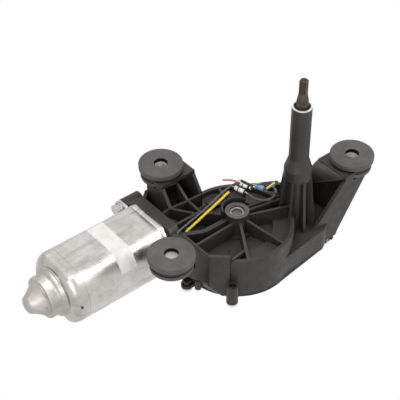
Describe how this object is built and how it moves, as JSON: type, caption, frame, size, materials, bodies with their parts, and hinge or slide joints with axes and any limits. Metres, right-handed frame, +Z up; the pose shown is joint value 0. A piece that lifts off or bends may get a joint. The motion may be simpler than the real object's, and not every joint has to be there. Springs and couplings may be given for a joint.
{
  "type": "wiper motor",
  "caption": "Wiper motor with a worm gearbox, a crank linkage, three rubber-mounted ears and an upright output spindle on a tall tower.",
  "frame": {"origin": "centre of the bottom cover's flat face, on the worm wheel's axis", "axes": "+Z up along the output spindle, +X along the motor axis away from the motor, +Y towards the ear beside the motor flange"},
  "size_m": [0.2445, 0.1094, 0.137],
  "materials": {
    "zinc": "satin zinc coat",
    "ferrite": "matt grey",
    "steel": "satin",
    "bright_steel": "bright",
    "core_steel": "laminated",
    "lever_steel": "stamped",
    "spindle_steel": "dark phosphate coat",
    "copper": "copper",
    "bronze": "sintered bronze",
    "natural_nylon": "natural nylon",
    "brown_plastic": "moulded phenolic",
    "housing_plastic": "glass-filled, slightly rough",
    "cover_plastic": "moulded",
    "holder_plastic": "moulded",
    "black_rubber": "matt",
    "grommet_rubber": "dusty dark grey",
    "blue_coat": "dipped",
    "yellow_plastic": "sleeve",
    "grey_plastic": "sleeve",
    "red_plastic": "sleeve",
    "green_plastic": "sleeve",
    "pale_plastic": "sleeve"
  },
  "bodies": {
    "housing": {"gear_housing": "housing_plastic", "motor_can": "zinc", "magnets": "ferrite", "magnet_springs": "steel", "rear_bearing": "bronze", "front_bearing": "steel", "end_bush": "bronze", "thrust_pad": "natural_nylon", "brush_holder": "brown_plastic", "brushes": "ferrite", "brush_springs": "steel", "can_gasket": "black_rubber", "motor_screws": "steel", "bottom_cover": "cover_plastic", "cover_gasket": "black_rubber", "cover_screws": "steel", "lower_spindle_bush": "bronze", "upper_spindle_bush": "bronze", "spindle_seal": "black_rubber", "spindle_washer": "bright_steel", "grommets": "grommet_rubber", "grommet_sleeves": "bright_steel", "park_contacts": "bronze", "suppressor_holder": "holder_plastic", "chokes": "holder_plastic", "capacitor": "blue_coat", "yellow_sleeve": "yellow_plastic", "grey_wire": "grey_plastic", "red_wire": "red_plastic", "black_wire": "grey_plastic", "green_wire": "green_plastic", "pale_sleeve": "pale_plastic", "connector_shell": "holder_plastic", "connector_pins": "bronze", "axle_washer": "steel"},
    "armature": {"armature_core": "core_steel", "armature_windings": "copper", "commutator": "copper", "worm_shaft": "steel"},
    "wheel": {"worm_wheel": "natural_nylon", "wheel_axle": "steel", "axle_ring": "bright_steel", "crank_pin": "steel", "park_disc": "copper"},
    "rod": {"connecting_rod": "lever_steel"},
    "spindle": {"output_spindle": "spindle_steel", "rocker_lever": "lever_steel", "spindle_circlip": "steel"}
  },
  "joints": [
    {"name": "armature_turn", "type": "hinge", "parent": "housing", "child": "armature", "pos_m": [0, 0.0354, 0.0205], "axis": [-1, 0, 0], "range_deg": [0, 9000]},
    {"name": "wheel_turn", "type": "hinge", "parent": "housing", "child": "wheel", "pos_m": [0, 0, 0.0205], "axis": [0, 0, -1], "range_deg": [0, 180]},
    {"name": "rod_turn", "type": "hinge", "parent": "wheel", "child": "rod", "pos_m": [-0.01291, 0.00097, 0.0121], "axis": [0, 0, -1], "range_deg": [-180, 0]},
    {"name": "spindle_sweep", "type": "hinge", "parent": "housing", "child": "spindle", "pos_m": [0.041, -0.0125, 0.02], "axis": [0, 0, -1], "range_deg": [0, 108]}
  ],
  "couplings": [
    {"joint": "wheel_turn", "follows": "armature_turn", "ratio": 0.02},
    {"joint": "rod_turn", "follows": "armature_turn", "ratio": -0.02},
    {"joint": "spindle_sweep", "follows": "armature_turn", "ratio": 0.012}
  ]
}
